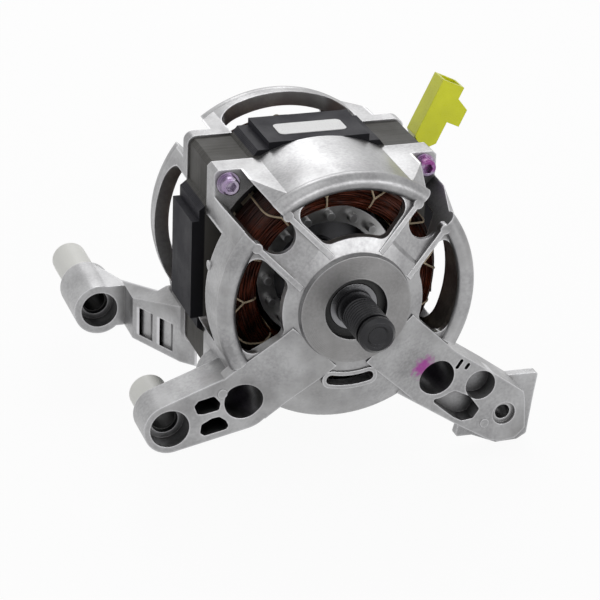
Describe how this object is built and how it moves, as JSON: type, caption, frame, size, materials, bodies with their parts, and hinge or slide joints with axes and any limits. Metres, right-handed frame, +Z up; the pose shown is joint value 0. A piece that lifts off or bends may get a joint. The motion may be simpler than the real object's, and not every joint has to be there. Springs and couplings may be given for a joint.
{
  "type": "washing machine motor",
  "caption": "Induction motor for a washing machine with die-cast end brackets, pivot arms, grooved pulley shaft and slanted electrical plug.",
  "frame": {"origin": "on the shaft's axis in the plane of the machined face of the front hub, where the shaft comes out", "axes": "+X to the right arm, +Y along the shaft from the pulley end to the rear, +Z up, away from the arms"},
  "size_m": [0.2315, 0.2742, 0.1906],
  "materials": {
    "cast_aluminium": "raw die-cast surface",
    "core_steel": "dark varnished lamination",
    "slot_liner": "bent insulating sheet",
    "winding_copper": "dark varnished copper wire",
    "lacing_cord": "waxed cord",
    "bolt_steel": "zinc plated",
    "bush_plastic": "white moulded plastic",
    "bearing_steel": "ground steel",
    "cage_plastic": "moulded plastic",
    "seal_rubber": "matte rubber",
    "rotor_steel": "turned lamination",
    "cage_aluminium": "cast, unpolished",
    "shaft_steel": "dark oiled steel",
    "magnet": "sintered",
    "sensor_winding": "fine enamelled wire under tape",
    "dark_plastic": "moulded plastic",
    "plug_plastic": "yellow moulded plastic",
    "pin_brass": "tinned"
  },
  "bodies": {
    "motor_frame": {"stator_core": "core_steel", "slot_liners": "slot_liner", "slot_conductors": "winding_copper", "winding_front": "winding_copper", "winding_rear": "winding_copper", "lacing_front": "lacing_cord", "lacing_rear": "lacing_cord", "front_bracket": "cast_aluminium", "rear_bracket": "cast_aluminium", "through_bolts": "bolt_steel", "pivot_bushes": "bush_plastic", "sensor_coil": "sensor_winding", "sensor_cover": "dark_plastic", "plug_housing": "plug_plastic", "plug_pins": "pin_brass", "front_bearing_outer_ring": "bearing_steel", "front_bearing_seals": "seal_rubber", "rear_bearing_outer_ring": "bearing_steel", "rear_bearing_seals": "seal_rubber"},
    "rotor": {"shaft": "shaft_steel", "rotor_core": "rotor_steel", "rotor_cage": "cage_aluminium", "front_bearing_inner_ring": "bearing_steel", "rear_bearing_inner_ring": "bearing_steel", "sensor_magnet": "magnet"},
    "front_balls": {"front_bearing_balls": "bearing_steel", "front_bearing_cage": "cage_plastic"},
    "rear_balls": {"rear_bearing_balls": "bearing_steel", "rear_bearing_cage": "cage_plastic"}
  },
  "joints": [
    {"name": "rotor_spin", "type": "hinge", "parent": "motor_frame", "child": "rotor", "pos_m": [0, 0, 0], "axis": [0, -1, 0], "continuous": true},
    {"name": "front_cage_spin", "type": "hinge", "parent": "motor_frame", "child": "front_balls", "pos_m": [0, 0.01, 0], "axis": [0, -1, 0], "continuous": true},
    {"name": "rear_cage_spin", "type": "hinge", "parent": "motor_frame", "child": "rear_balls", "pos_m": [0, 0.148, 0], "axis": [0, -1, 0], "continuous": true}
  ],
  "couplings": [
    {"joint": "front_cage_spin", "follows": "rotor_spin", "ratio": 0.39677},
    {"joint": "rear_cage_spin", "follows": "rotor_spin", "ratio": 0.38772}
  ]
}
